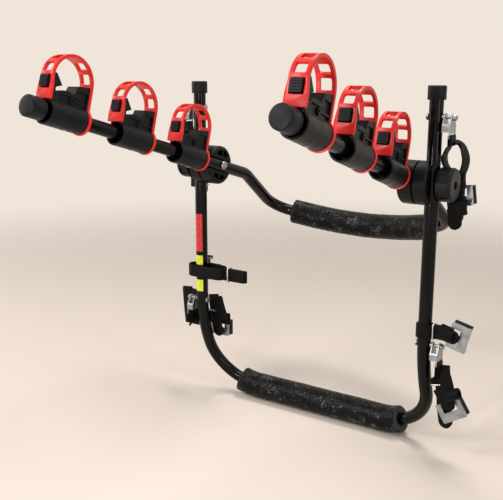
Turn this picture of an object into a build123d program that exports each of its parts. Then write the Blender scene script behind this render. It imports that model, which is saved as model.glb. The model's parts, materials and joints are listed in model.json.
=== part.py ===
import os
from math import atan2, cos, degrees, pi, radians, sin, tan

from build123d import *

# Trunk mounted bike rack, in mm. Z is up, Y points at the vehicle, X is across it.
# The origin is the middle of the lower pad, on the axis of the lower cross bar.

# Tubes: both frames are bent from the same steel tube
tube_d = 25.4
tube_wall = 1.6
rod_gap = 0.08          # radial gap of a bolt or tube in a hole that it turns or slides in
soft_gap = 0.3          # between a soft piece and what it lies on
overrun = 4.0           # how far a cutting shape runs past the material

# Lower frame: two uprights that lean forward at the foot into one cross bar
upright_half = 260.0
foot_forward = 65.3
foot_bend_z = 154.7
foot_bend_share = 0.35      # of the slanted foot's length, taken by the bend at its top
foot_corner_share = 0.637   # and by the corner at its bottom
upright_top = 674.5
hub_under_top = 169.4

# Arm frame: two arms on top of the hubs' axis, joined behind the hubs by a curved bar
arm_in = 46.7               # from the upright's axis in to the arm's
arm_tilt = 16.7
arm_splay = 2.8
arm_reach = 505.5
rear_straight = 99.1
rear_dip = 35.5
rear_drop = 160.2
rear_bar_in = 42.5          # from the upright's axis in to the bar's corner
rear_sag_share = 0.3274     # of half the bar
rear_bar_share = 1.954      # the bar's radius, of half the bar
rear_bend_r = 60.0
rear_corner_r = 60.0

# Foam pads on the two cross bars
pad_d = 56.0
lower_pad_in = 61.0     # from the upright's axis to the pad's end
upper_pad_end = 52.0    # from the bar's corner to the pad's end

# Rubber caps on the tubes' ends
upright_cap_d = 33.0
upright_cap_len = 24.5
arm_cap_d = 37.0
arm_cap_len = 31.0
cap_top = 3.0
cap_edge = 2.2
cap_gap = 0.05

# Toothed hubs, one half on the upright and one on the arm
hub_d = 80.0
hub_inner_in = 54.0     # from the upright's axis in to the hub's inner face
hub_outer_out = 2.0
hub_wall = 3.2
hub_edge = 6.0
hub_floor = 9.0
hub_rib = 2.6
hub_pocket_edge = 8.0
seam_gap = 0.4
tooth_count = 24
tooth_len = 9.0
tooth_rise = 1.6
tooth_root_d = 50.0
hub_seat_gap = 0.1

# Bolt through the hub, and the knob that clamps it
bolt_d = 8.0
head_d = 18.0
head_rise = 5.5
head_round_share = 0.8
washer_d = 24.0
washer_t = 2.0
knob_d = 62.0
knob_len = 28.0
knob_edge = 6.0
knob_hole_d = 15.0
knob_hole_depth = 8.0
notch_count = 6
notch_width = 16.0
notch_len = 18.0
notch_depth = 3.0
notch_start = 3.5
insert_d = 14.0
insert_len = 15.0
thread_gap = 0.05
bolt_end_gap = 2.5

# Cradles: three on each arm. u runs outward along the arm, v up from its axis
cradle_first = 66.0
cradle_last_back = 111.9    # from the arm's end back to the outer cradle
cradle_count = 3
sleeve_d = 45.0
sleeve_len = 78.0
sleeve_bore_d = 39.0
sleeve_bore_depth = 26.0
spigot_len = 9.5
tower_width = 27.0
tower_top_v = 58.0
tower_front_v = 54.0
tower_front_u = 25.0
tower_foot_u = 31.0
saddle_v = 38.0
saddle_end_u = 61.0
plate_t = 7.0
plate_top_v = 64.0
barb_tip_u = 59.0
barb_tip_v = 46.5
barb_under_v = 41.0
barb_notch_v = 33.0
plate_tip_t = 5.0
plate_edge = 1.4
panel_depth = 3.2
panel_rib = 2.4
panel_low_v = 19.0
panel_top_v = 46.0
panel_saddle_v = 33.0
panel_rib_u = 33.5
panel_ring_r = 5.0
saddle_round_r = 50.0
button_size = 19.0
button_v = 48.0
button_proud = 3.4
button_rib = 1.1
button_ribs = 4
button_corner = 3.0

# Ladder straps of the cradles
strap_t = 5.2
strap_width = 30.0
strap_pad_width = 35.0
strap_foot_v = 19.8
strap_arch_r = 42.7
strap_arch_u = 38.6
strap_arch_v = 57.8
strap_window = 19.0
strap_window_len = 17.0
window_angles = (21.0, 54.0, 126.0, 159.0)
window_corner = 2.5
button_gap = 1.6
ring_outer_r = 24.0
ring_inner_r = 18.0
strap_corner = 5.0

# Self-drilling screws that hold the cradles to the arms, from below
screw_d = 5.0
screw_head_d = 10.0
screw_head_t = 3.0
screw_u = 30.0
screw_tip = 3.0

# Bolts through the uprights for the four bolted straps
strap_bolt_d = 6.0
strap_head_d = 12.5
strap_head_t = 3.6
upper_bolt_down = 51.2      # from the upright's top
lower_bolt_up = 47.8        # from the bend
spacer_d = 10.0
spacer_t = 4.0
nut_d = 11.5
nut_t = 5.5

# Folded steel link that swings on each of those bolts: a channel with its web to the front
link_width = 15.0
link_depth = 30.0
link_head_d = 14.0
link_shoulder = 14.0
link_short_len = 25.0
link_gap = 0.3
link_t = 2.0
link_len = 36.0
link_slot = 27.0
link_slot_t = 4.4
link_bar = 4.0

# Webbing and the wire loops round it
web_width = 26.0
web_t = 1.8
web_round = 0.8
loop_len = 30.0
short_loop_len = 20.0
wire_d = 3.0
wire_gap = 0.4
wire_corner = 2.4

# Plate hooks, with rubber on their two lips
hook_width = 50.0
hook_len = 38.0
hook_t = 2.4
hook_lip = 12.0
hook_slot_w = 29.0
hook_slot_len = 15.0
hook_bar = 5.0
hook_corner = 2.0
edge_t = 1.8
edge_depth = 9.0
edge_gap = 0.1

# Folded bundle of each bolted strap, and where its hook hangs from the bolt
bundle_t = 13.0
hook_back = 8.8         # from the middle of a bundle to the hook behind it
bundle_round = 3.0
bar_round_share = 0.6
upper_back = 43.0
upper_bend_drop = 103.0
upper_fold_drop = 200.0
upper_hook_drop = 128.0
upper_hook_turn = 8.0
upper_wire_drop = 171.5
lower_back = 3.0
lower_hook_x = 19.0
lower_hook_drop = 109.0
lower_hook_turn = 32.0
lower_wire_drop = 76.0

# The lower left one is folded beside its upright, behind it and again beside it
behind_back = 31.6
behind_hook_in = 17.0
behind_hook_drop = 55.5
behind_wire_drop = 30.5
roll_len = 123.0
roll_width = 23.0
roll_out = 14.5
roll_drop = 48.0
outer_fold_width = 34.0
outer_fold_len = 90.0
outer_fold_out = 59.0
outer_fold_drop = 29.5
inner_fold_len = 62.0
inner_fold_in = 12.0
inner_fold_drop = 28.5
join_width = 22.0
join_len = 20.0
join_t = 18.0
join_drop = 49.0
join_back = 18.3

# Straps wound round the uprights, with their folded ends and hooks
wind_gap = 0.4
wind_t = 4.2
left_wind_up = 66.5         # from the lower bolt
left_wind_out = 16.0
left_wind_in = 46.0
left_tail_x = 105.0
left_tail_wire_x = 74.0
left_hook_in = 5.0
right_wind_up = 27.5
right_tail_x = 46.0
right_tail_wire_x = 18.2
right_hook_turn = 76.0
right_hook_x = 49.0
tail_t = 12.0
hook_behind = 3.0


def write(builder, name):
    builder.part.label = name
    export_step(builder.part, f"parts/{name}.step")
    print(name, round(builder.part.volume))


def in_yz(x, y_dir, z_up, towards=1):
    """Plane square to X at x, with its own x axis along (y_dir, z_up) in the Y-Z plane."""
    return Plane(origin=(x, 0, 0), x_dir=(0, y_dir, z_up), z_dir=(towards, 0, 0))


tube_r = tube_d / 2
upright_y = -foot_forward
hub_z = upright_top - hub_under_top
hub_inner_x = upright_half - hub_inner_in
hub_outer_x = upright_half + hub_outer_out
arm_half = upright_half - arm_in
rear_bar_half = upright_half - rear_bar_in
rear_sag = rear_bar_half * rear_sag_share
rear_bar_r = rear_bar_half * rear_bar_share
lower_pad_half = upright_half - lower_pad_in
tilt = radians(arm_tilt)
splay = radians(arm_splay)
dip = radians(rear_dip)
hub_mid_x = (hub_inner_x + hub_outer_x) / 2 + tooth_rise


def arm_axis(side):
    return Vector(side * sin(splay), -cos(tilt) * cos(splay), sin(tilt) * cos(splay))


def arm_up():
    return Vector(0, sin(tilt), cos(tilt))


def hub_centre(side):
    return Vector(side * arm_half, upright_y, hub_z)


def arm_plane(side, s):
    """Plane of an arm's side view: x outward along the arm, y up, from s along the arm."""
    axis = arm_axis(side)
    return Plane(origin=hub_centre(side) + axis * s, x_dir=axis, z_dir=axis.cross(arm_up()))


def across_arm(side, s):
    """Plane square to an arm at s, with y up and z outward along the arm."""
    axis = arm_axis(side)
    return Plane(origin=hub_centre(side) + axis * s, x_dir=arm_up().cross(axis), z_dir=axis)


# Path of the arm frame's tube, from the left arm's outer end round to the right arm's
def rear_points(side):
    bend = hub_centre(side) - arm_axis(side) * rear_straight
    corner = Vector(side * rear_bar_half, bend.Y + rear_drop * cos(dip), bend.Z - rear_drop * sin(dip))
    return bend, corner


bend_left, corner_left = rear_points(-1)
bend_right, corner_right = rear_points(1)
bar_apex = Vector(0, corner_left.Y + rear_sag * cos(dip), corner_left.Z - rear_sag * sin(dip))
arm_end_left = hub_centre(-1) + arm_axis(-1) * arm_reach
arm_end_right = hub_centre(1) + arm_axis(1) * arm_reach
corner_to_apex = (bar_apex - corner_left).normalized()

foot_left = Vector(-upright_half, 0, 0)
foot_right = Vector(upright_half, 0, 0)
knee_left = Vector(-upright_half, upright_y, foot_bend_z)
knee_right = Vector(upright_half, upright_y, foot_bend_z)
foot_lean = atan2(foot_forward, foot_bend_z)
foot_up = Vector(0, -sin(foot_lean), cos(foot_lean))
foot_len = (knee_left - foot_left).length
foot_bend_r = foot_len * foot_bend_share / tan(foot_lean / 2)
foot_corner_r = foot_len * foot_corner_share

upper_bolt_z = upright_top - upper_bolt_down
lower_bolt_z = foot_bend_z + lower_bolt_up
strap_bolt_zs = {"upper": upper_bolt_z, "lower": lower_bolt_z}
sides = {"left": -1, "right": 1}

# Stations along X of the stacks through and outside each upright
upright_out_x = upright_half + tube_r
upright_in_x = upright_half - tube_r
knob_x = upright_out_x + washer_t
bolt_head_x = arm_half - tube_r / cos(splay) - head_d / 2 * tan(splay)
bolt_end_x = knob_x + knob_len - knob_hole_depth + bolt_end_gap
link_x = upright_out_x + spacer_t + link_gap
nut_x = link_x + link_width + link_gap
web_x = link_x + link_width - link_t / 2

# Stations along a cradle, and the cradles' pitch along an arm
cradle_pitch = (arm_reach - cradle_last_back - cradle_first) / (cradle_count - 1)
front_u = strap_arch_u + strap_arch_r
rear_u = strap_arch_u - strap_arch_r
sleeve_start = rear_u + strap_t / 2 + soft_gap
plate_front_u = front_u - strap_t / 2 - soft_gap
spigot_d = (ring_inner_r - soft_gap) * 2

os.makedirs("parts", exist_ok=True)

# Lower frame
with BuildPart() as lower_frame:
    with BuildLine() as lower_path:
        FilletPolyline(
            (-upright_half, upright_y, upright_top),
            knee_left,
            foot_left,
            foot_right,
            knee_right,
            (upright_half, upright_y, upright_top),
            radius=[foot_bend_r, foot_corner_r, foot_corner_r, foot_bend_r],
        )
    with BuildSketch(Plane(origin=(-upright_half, upright_y, upright_top), z_dir=(0, 0, -1))):
        Circle(tube_r)
        Circle(tube_r - tube_wall, mode=Mode.SUBTRACT)
    sweep(path=lower_path.wires()[0])
    with BuildSketch(in_yz(0, 1, 0)):
        with Locations((upright_y, hub_z)):
            Circle(bolt_d / 2 + rod_gap)
        with Locations(*[(upright_y, z) for z in strap_bolt_zs.values()]):
            Circle(strap_bolt_d / 2 + rod_gap)
    extrude(amount=upright_out_x + overrun, both=True, mode=Mode.SUBTRACT)
write(lower_frame, "lower_frame")

# Arm frame
with BuildPart() as arm_frame:
    with BuildLine() as arm_path:
        FilletPolyline(
            arm_end_left,
            bend_left,
            corner_left,
            bar_apex,
            corner_right,
            bend_right,
            arm_end_right,
            radius=[rear_bend_r, rear_corner_r, rear_bar_r, rear_corner_r, rear_bend_r],
        )
    with BuildSketch(Plane(origin=arm_end_left, z_dir=arm_axis(-1) * -1)):
        Circle(tube_r)
        Circle(tube_r - tube_wall, mode=Mode.SUBTRACT)
    sweep(path=arm_path.wires()[0])
    with BuildSketch(in_yz(0, 1, 0)):
        with Locations((upright_y, hub_z)):
            Circle(bolt_d / 2 + rod_gap)
    extrude(amount=upright_half, both=True, mode=Mode.SUBTRACT)
    for side in sides.values():
        for row in range(cradle_count):
            hole_s = cradle_first + row * cradle_pitch + screw_u
            hole_origin = hub_centre(side) + arm_axis(side) * hole_s
            with BuildSketch(Plane(origin=hole_origin, z_dir=arm_up() * -1)):
                Circle(screw_d / 2 + rod_gap)
            extrude(amount=tube_r + overrun, mode=Mode.SUBTRACT)
write(arm_frame, "arm_frame")

# Foam pad round the lower bar. Its ends follow the start of the corners
pad_bar_half = upright_half - foot_corner_r * tan(pi / 4)
pad_turn = degrees(atan2(lower_pad_half - pad_bar_half, foot_corner_r))
pad_plane = Plane(origin=(0, 0, 0), x_dir=(1, 0, 0), z_dir=Vector(1, 0, 0).cross(foot_up))
with BuildPart() as lower_pad:
    with BuildLine(pad_plane) as pad_path:
        pad_bar = Line((-pad_bar_half, 0), (pad_bar_half, 0))
        JernArc(pad_bar @ 1, pad_bar % 1, foot_corner_r, pad_turn)
        JernArc(pad_bar @ 0, -(pad_bar % 0), foot_corner_r, -pad_turn)
    pad_wire = pad_path.wires()[0]
    with BuildSketch(Plane(origin=pad_wire @ 0, z_dir=pad_wire % 0)):
        Circle(pad_d / 2)
        Circle(tube_r + soft_gap, mode=Mode.SUBTRACT)
    sweep(path=pad_wire)
write(lower_pad, "lower_pad")

# Foam pad round the curved upper bar
with BuildPart() as upper_pad:
    with BuildLine() as upper_path:
        FilletPolyline(
            corner_left + corner_to_apex * upper_pad_end,
            bar_apex,
            corner_right + (bar_apex - corner_right).normalized() * upper_pad_end,
            radius=rear_bar_r,
        )
    upper_wire = upper_path.wires()[0]
    with BuildSketch(Plane(origin=upper_wire @ 0, z_dir=upper_wire % 0)):
        Circle(pad_d / 2)
        Circle(tube_r + soft_gap, mode=Mode.SUBTRACT)
    sweep(path=upper_wire)
write(upper_pad, "upper_pad")

# Rubber caps on the uprights, and on the arms
with BuildPart() as upright_caps:
    for side in sides.values():
        with BuildSketch(Plane.XY.offset(upright_top + cap_top)):
            with Locations((side * upright_half, upright_y)):
                Circle(upright_cap_d / 2)
        extrude(amount=-upright_cap_len)
    fillet(upright_caps.edges().group_by(Axis.Z)[-1], cap_edge)
    for side in sides.values():
        with BuildSketch(Plane.XY.offset(upright_top)):
            with Locations((side * upright_half, upright_y)):
                Circle(tube_r + cap_gap)
        extrude(amount=-upright_cap_len, mode=Mode.SUBTRACT)
write(upright_caps, "upright_caps")

with BuildPart() as arm_caps:
    for side in sides.values():
        with BuildSketch(across_arm(side, arm_reach + cap_top - arm_cap_len)):
            Circle(arm_cap_d / 2)
        extrude(amount=arm_cap_len - cap_edge)
        with BuildSketch(across_arm(side, arm_reach + cap_top - cap_edge)):
            Circle(arm_cap_d / 2)
        extrude(amount=cap_edge, taper=45)
        with BuildSketch(across_arm(side, arm_reach)):
            Circle(tube_r + cap_gap)
        extrude(amount=-arm_cap_len, mode=Mode.SUBTRACT)
write(arm_caps, "arm_caps")


def tooth_ring():
    """Outline of the radial teeth that stand on a hub's meeting face."""
    with PolarLocations((hub_d - tooth_len) / 2 - hub_wall, tooth_count):
        Rectangle(tooth_len, pi * tooth_root_d / tooth_count / 2)


# Hubs: the inner half carries the arm in a channel, the outer half is saddled on the upright
for name, side in sides.items():
    axis = arm_axis(side)
    flat_axis = Vector(0, axis.Y, axis.Z).normalized()
    inner_plane = Plane(origin=(side * hub_inner_x, upright_y, hub_z), x_dir=flat_axis, z_dir=(side, 0, 0))
    seam_plane = Plane(origin=(side * hub_mid_x, upright_y, hub_z), x_dir=flat_axis, z_dir=(side, 0, 0))
    with BuildPart() as hub_inner:
        with BuildSketch(inner_plane):
            Circle(hub_d / 2)
        extrude(amount=hub_mid_x - hub_inner_x - seam_gap / 2 - tooth_rise)
        fillet(hub_inner.faces().sort_by(Axis.X)[0 if side > 0 else -1].edges(), hub_edge)
        with BuildSketch(inner_plane.offset(-overrun)):
            Circle(hub_d / 2 - hub_pocket_edge)
            for row in (-1, 1):
                with Locations((0, row * (tube_r + hub_rib * 2))):
                    Rectangle(hub_d, hub_rib, mode=Mode.SUBTRACT)
            for column in (-1, 0, 1):
                with Locations((column * hub_d / 4, 0)):
                    Rectangle(hub_rib, hub_d, mode=Mode.SUBTRACT)
            Rectangle(hub_d, (tube_r + hub_rib) * 2, mode=Mode.SUBTRACT)
        extrude(amount=hub_mid_x - hub_inner_x - hub_floor + overrun, mode=Mode.SUBTRACT)
        with BuildSketch(across_arm(side, -hub_d)):
            Circle(tube_r + hub_seat_gap)
        extrude(amount=hub_d * 2, mode=Mode.SUBTRACT)
        with BuildSketch(across_arm(side, -hub_d)):
            with Locations((-side * hub_d / 4, 0)):
                Rectangle(hub_d / 2, (tube_r + hub_seat_gap) * 2)
        extrude(amount=hub_d * 2, mode=Mode.SUBTRACT)
        with BuildSketch(seam_plane.offset(-seam_gap / 2 - tooth_rise)):
            tooth_ring()
        extrude(amount=tooth_rise)
        with BuildSketch(inner_plane.offset(-overrun)):
            Circle(bolt_d / 2 + rod_gap)
        extrude(amount=hub_d, mode=Mode.SUBTRACT)
    write(hub_inner, f"hub_inner_{name}")

    with BuildPart() as hub_outer:
        with BuildSketch(seam_plane.offset(seam_gap / 2 + tooth_rise)):
            Circle(hub_d / 2)
        extrude(amount=hub_outer_x - hub_mid_x - seam_gap / 2 - tooth_rise)
        fillet(hub_outer.faces().sort_by(Axis.X)[-1 if side > 0 else 0].edges(), hub_edge)
        with BuildSketch(Plane.XY.offset(hub_z - hub_d)):
            with Locations((side * upright_half, upright_y)):
                Circle(tube_r + hub_seat_gap)
                with Locations((side * hub_d / 4, 0)):
                    Rectangle(hub_d / 2, (tube_r + hub_seat_gap) * 2)
        extrude(amount=hub_d * 2, mode=Mode.SUBTRACT)
        with BuildSketch(seam_plane.offset(seam_gap / 2)):
            tooth_ring()
        extrude(amount=tooth_rise)
        with BuildSketch(inner_plane.offset(-overrun)):
            Circle(bolt_d / 2 + rod_gap)
        extrude(amount=hub_d, mode=Mode.SUBTRACT)
    write(hub_outer, f"hub_outer_{name}")

    # Domed bolt through the arm, the hub and the upright
    with BuildPart() as pivot_bolt:
        with BuildSketch(Plane(origin=(side * bolt_head_x, upright_y, hub_z), z_dir=(side, 0, 0))):
            Circle(bolt_d / 2)
        extrude(amount=bolt_end_x - bolt_head_x)
        with BuildSketch(Plane(origin=(side * bolt_head_x, upright_y, hub_z), z_dir=(-side, 0, 0))):
            Circle(head_d / 2)
        extrude(amount=head_rise)
        head_rim = pivot_bolt.faces().sort_by(Axis.X)[0 if side > 0 else -1].edges()
        fillet(head_rim, head_rise * head_round_share)
    write(pivot_bolt, f"pivot_bolt_{name}")

    # Washer, knob and the threaded insert moulded into the knob
    washer_plane = Plane(origin=(side * upright_out_x, upright_y, hub_z), z_dir=(side, 0, 0))
    knob_plane = Plane(origin=(side * knob_x, upright_y, hub_z), x_dir=(0, 0, 1), z_dir=(side, 0, 0))
    with BuildPart() as knob_washer:
        with BuildSketch(washer_plane):
            Circle(washer_d / 2)
            Circle(bolt_d / 2 + rod_gap, mode=Mode.SUBTRACT)
        extrude(amount=washer_t)
    write(knob_washer, f"knob_washer_{name}")

    with BuildPart() as knob:
        with BuildSketch(knob_plane):
            Circle(knob_d / 2)
        extrude(amount=knob_len)
        fillet(knob.faces().sort_by(Axis.X)[-1 if side > 0 else 0].edges(), knob_edge)
        chamfer(knob.faces().sort_by(Axis.X)[0 if side > 0 else -1].edges(), cap_edge)
        with BuildSketch(knob_plane.offset(notch_start)):
            with PolarLocations(knob_d / 2, notch_count):
                Rectangle(notch_depth * 2, notch_width)
        extrude(amount=notch_len, mode=Mode.SUBTRACT)
        with BuildSketch(knob_plane.offset(knob_len - knob_hole_depth)):
            Circle(knob_hole_d / 2)
        extrude(amount=knob_hole_depth + overrun, mode=Mode.SUBTRACT)
        with BuildSketch(knob_plane):
            Circle(insert_d / 2)
        extrude(amount=insert_len, mode=Mode.SUBTRACT)
        with BuildSketch(knob_plane):
            Circle(bolt_d / 2 + rod_gap)
        extrude(amount=knob_len, mode=Mode.SUBTRACT)
    write(knob, f"knob_{name}")

    with BuildPart() as knob_insert:
        with BuildSketch(knob_plane):
            RegularPolygon(insert_d / 2 - rod_gap, notch_count)
            Circle(bolt_d / 2 + thread_gap, mode=Mode.SUBTRACT)
        extrude(amount=insert_len - rod_gap)
    write(knob_insert, f"knob_insert_{name}")


def panel_profile():
    """Sunk panel on a cradle's side, in the tower and under the saddle, around a rib with a ring."""
    ring_v = panel_saddle_v - panel_ring_r - panel_rib / 2
    with Locations(((sleeve_start + tower_front_u) / 2, (panel_low_v + panel_top_v) / 2)):
        Rectangle(tower_front_u - sleeve_start - panel_rib * 2, panel_top_v - panel_low_v)
    with Locations(((sleeve_start + panel_rib + saddle_end_u) / 2, (panel_low_v + panel_saddle_v) / 2)):
        Rectangle(saddle_end_u - sleeve_start - panel_rib, panel_saddle_v - panel_low_v)
    with Locations((panel_rib_u, (panel_low_v + ring_v) / 2)):
        Rectangle(panel_rib, ring_v - panel_low_v + panel_rib, mode=Mode.SUBTRACT)
    with Locations(((sleeve_start + panel_rib_u) / 2, ring_v)):
        Rectangle(panel_rib_u - sleeve_start, panel_rib, mode=Mode.SUBTRACT)
    with Locations((panel_rib_u, ring_v)):
        Circle(panel_ring_r, mode=Mode.SUBTRACT)
        Circle(panel_ring_r - panel_rib, mode=Mode.ADD)


def cradle_profile():
    """Side view of a cradle above its sleeve: rear tower, saddle and barbed front plate."""
    plate_rear_u = plate_front_u - plate_t
    Polyline(
        (sleeve_start, 0),
        (sleeve_start, tower_top_v),
        (tower_front_u, tower_front_v),
        (tower_foot_u, saddle_v),
    )
    saddle_end = (saddle_end_u, saddle_v)
    RadiusArc((tower_foot_u, saddle_v), saddle_end, saddle_round_r)
    Polyline(
        saddle_end,
        ((saddle_end_u + plate_rear_u) / 2, barb_notch_v),
        (plate_rear_u, barb_notch_v),
        (plate_rear_u, barb_under_v),
        (barb_tip_u, barb_tip_v),
        (plate_front_u - plate_tip_t, plate_top_v),
        (plate_front_u - plate_edge, plate_top_v),
        (plate_front_u, strap_arch_v),
        (plate_front_u, 0),
        (sleeve_start, 0),
    )


# Cradles with their ladder straps
row_names = ("inner", "middle", "outer")
for name, side in sides.items():
    for row in range(cradle_count):
        datum = cradle_first + row * cradle_pitch
        side_view = arm_plane(side, datum)
        with BuildPart() as cradle:
            with BuildSketch(across_arm(side, datum + sleeve_start)):
                Circle(sleeve_d / 2)
            extrude(amount=sleeve_len)
            with BuildSketch(across_arm(side, datum + sleeve_start)):
                Circle(spigot_d / 2)
            extrude(amount=-spigot_len)
            with BuildSketch(side_view):
                with BuildLine():
                    cradle_profile()
                make_face()
            extrude(amount=tower_width / 2, both=True)
            with BuildSketch(across_arm(side, datum + plate_front_u)):
                with Locations((0, button_v)):
                    RectangleRounded(button_size, button_size, button_corner)
            extrude(amount=strap_t + button_gap + button_proud)
            with BuildSketch(across_arm(side, datum + plate_front_u + strap_t + button_gap + button_proud)):
                with Locations((0, button_v)):
                    with GridLocations(0, button_size / (button_ribs + 1), 1, button_ribs):
                        Rectangle(button_size - button_corner, button_rib)
            extrude(amount=button_rib)
            for face in (-1, 1):
                with BuildSketch(side_view.offset(face * tower_width / 2)):
                    panel_profile()
                extrude(amount=-face * panel_depth, mode=Mode.SUBTRACT)
            with BuildSketch(across_arm(side, datum + sleeve_start - spigot_len - overrun)):
                Circle(tube_r + hub_seat_gap)
            extrude(amount=sleeve_len + spigot_len + overrun * 2, mode=Mode.SUBTRACT)
            with BuildSketch(across_arm(side, datum + sleeve_start + sleeve_len - sleeve_bore_depth)):
                Circle(sleeve_bore_d / 2)
            extrude(amount=sleeve_bore_depth + overrun, mode=Mode.SUBTRACT)
            with BuildSketch(Plane(origin=side_view.origin + arm_axis(side) * screw_u, z_dir=arm_up() * -1)):
                Circle(screw_d / 2 + rod_gap)
            extrude(amount=sleeve_d, mode=Mode.SUBTRACT)
            head_floor = Plane(
                origin=side_view.origin + arm_axis(side) * screw_u - arm_up() * (sleeve_d / 2 - screw_head_t),
                z_dir=arm_up() * -1,
            )
            with BuildSketch(head_floor):
                Circle(screw_head_d / 2 + rod_gap)
            extrude(amount=screw_head_t + overrun, mode=Mode.SUBTRACT)
        write(cradle, f"cradle_{name}_{row_names[row]}")

        with BuildPart() as ladder:
            # Arch and rear leg, as one band of the strap's thickness
            with BuildSketch(side_view):
                with BuildLine():
                    Line((front_u, strap_arch_v - strap_corner), (front_u, strap_arch_v))
                    CenterArc((strap_arch_u, strap_arch_v), strap_arch_r, 0, 180)
                    Line((rear_u, strap_arch_v), (rear_u, ring_inner_r))
                    offset(amount=strap_t / 2)
                make_face()
            extrude(amount=strap_width / 2, both=True)
            for angle in window_angles:
                turn = radians(angle)
                out = arm_axis(side) * cos(turn) + arm_up() * sin(turn)
                centre = side_view.origin + arm_axis(side) * strap_arch_u + arm_up() * strap_arch_v
                with BuildSketch(Plane(origin=centre, x_dir=side_view.z_dir, z_dir=out)):
                    RectangleRounded(strap_window, strap_window_len, window_corner)
                extrude(amount=strap_arch_r + strap_t, mode=Mode.SUBTRACT)
            # Front pad, wider at its foot, with the hole for the button
            with BuildSketch(across_arm(side, datum + front_u - strap_t / 2)):
                with BuildLine():
                    Polyline(
                        (-strap_pad_width / 2, strap_foot_v),
                        (strap_pad_width / 2, strap_foot_v),
                        (strap_pad_width / 2, button_v - button_size / 2),
                        (strap_width / 2, strap_arch_v),
                        (-strap_width / 2, strap_arch_v),
                        (-strap_pad_width / 2, button_v - button_size / 2),
                        (-strap_pad_width / 2, strap_foot_v),
                    )
                make_face()
                with Locations((0, button_v)):
                    RectangleRounded(
                        button_size + button_gap * 2,
                        button_size + button_gap * 2,
                        button_corner,
                        mode=Mode.SUBTRACT,
                    )
            extrude(amount=strap_t)
            with BuildSketch(across_arm(side, datum + front_u - strap_t)):
                with Locations((0, button_v)):
                    Rectangle(button_size + button_gap * 2, button_size + button_gap * 2)
            extrude(amount=strap_t * 2, mode=Mode.SUBTRACT)
            # Ring round the rear end of the cradle
            with BuildSketch(across_arm(side, datum + rear_u - strap_t / 2)):
                Circle(ring_outer_r)
            extrude(amount=strap_t)
            with BuildSketch(across_arm(side, datum + rear_u - strap_t)):
                Circle(ring_inner_r)
            extrude(amount=strap_t * 2, mode=Mode.SUBTRACT)
        write(ladder, f"ladder_strap_{name}_{row_names[row]}")

# Screws of the cradles
with BuildPart() as cradle_screws:
    for side in sides.values():
        for row in range(cradle_count):
            foot = hub_centre(side) + arm_axis(side) * (cradle_first + row * cradle_pitch + screw_u)
            seat = foot - arm_up() * (sleeve_d / 2 - screw_head_t)
            with BuildSketch(Plane(origin=seat, z_dir=arm_up())):
                Circle(screw_d / 2)
            extrude(amount=sleeve_d / 2 - screw_head_t - tube_r + tube_wall + screw_tip)
            with BuildSketch(Plane(origin=seat, z_dir=arm_up() * -1)):
                Circle(screw_head_d / 2)
            extrude(amount=screw_head_t)
write(cradle_screws, "cradle_screws")

# Bolts, spacers and nuts of the four bolted straps
with BuildPart() as strap_bolts:
    for side in sides.values():
        for z in strap_bolt_zs.values():
            with BuildSketch(Plane(origin=(side * upright_in_x, upright_y, z), z_dir=(side, 0, 0))):
                Circle(strap_bolt_d / 2)
            extrude(amount=nut_x + nut_t - upright_in_x + strap_bolt_d / 4)
            with BuildSketch(Plane(origin=(side * upright_in_x, upright_y, z), z_dir=(-side, 0, 0))):
                Circle(strap_head_d / 2)
            extrude(amount=strap_head_t)
write(strap_bolts, "strap_bolts")

with BuildPart() as strap_spacers:
    for side in sides.values():
        for z in strap_bolt_zs.values():
            with BuildSketch(Plane(origin=(side * upright_out_x, upright_y, z), z_dir=(side, 0, 0))):
                Circle(spacer_d / 2)
                Circle(strap_bolt_d / 2 + rod_gap, mode=Mode.SUBTRACT)
            extrude(amount=spacer_t)
write(strap_spacers, "strap_spacers")

with BuildPart() as strap_nuts:
    for side in sides.values():
        for z in strap_bolt_zs.values():
            with BuildSketch(Plane(origin=(side * nut_x, upright_y, z), z_dir=(side, 0, 0))):
                RegularPolygon(nut_d / 2, 6)
                Circle(strap_bolt_d / 2 + thread_gap, mode=Mode.SUBTRACT)
            extrude(amount=nut_t)
write(strap_nuts, "strap_nuts")


def over_bar(length):
    """Webbing looped over a bar: its outline, with the bar's middle as origin, hanging to -length."""
    reach = hook_t / 2 + soft_gap + web_t / 2
    top = hook_bar / 2 + soft_gap + web_t / 2
    FilletPolyline(
        (-reach, -length),
        (-reach, top),
        (reach, top),
        (reach, -length),
        radius=reach * bar_round_share,
    )


def hook_plane(x, y, z, turn):
    """Plane of a hook at its bar: z faces away from the vehicle, y points to its webbing."""
    swing = radians(turn)
    return Plane(origin=(x, y, z), x_dir=(cos(swing), 0, sin(swing)), z_dir=(0, -1, 0))


def in_profile(plane):
    """Plane across a hook's bar, for the webbing that loops under it."""
    return Plane(origin=plane.origin, x_dir=plane.z_dir, z_dir=plane.z_dir.cross(plane.y_dir * -1))


hook_places = {
    "lower_left": hook_plane(
        behind_hook_in - upright_half,
        upright_y + behind_back + hook_back,
        lower_bolt_z - behind_hook_drop,
        0,
    ),
    "lower_right": hook_plane(
        web_x + lower_hook_x,
        upright_y + lower_back,
        lower_bolt_z - lower_hook_drop,
        lower_hook_turn,
    ),
}
for name, side in sides.items():
    hook_places[f"upper_{name}"] = hook_plane(
        side * web_x,
        upright_y + upper_back + hook_back,
        upper_bolt_z - upper_hook_drop,
        side * upper_hook_turn,
    )
wind_r = tube_r + wind_gap
wind_zs = {"left": lower_bolt_z + left_wind_up, "right": lower_bolt_z + right_wind_up}
hook_places["side_left"] = hook_plane(
    left_hook_in - upright_half,
    upright_y + wind_r + wind_t + hook_behind,
    wind_zs["left"],
    -90,
)
hook_places["side_right"] = hook_plane(
    upright_half + right_hook_x,
    upright_y,
    wind_zs["right"],
    right_hook_turn,
)


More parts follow.
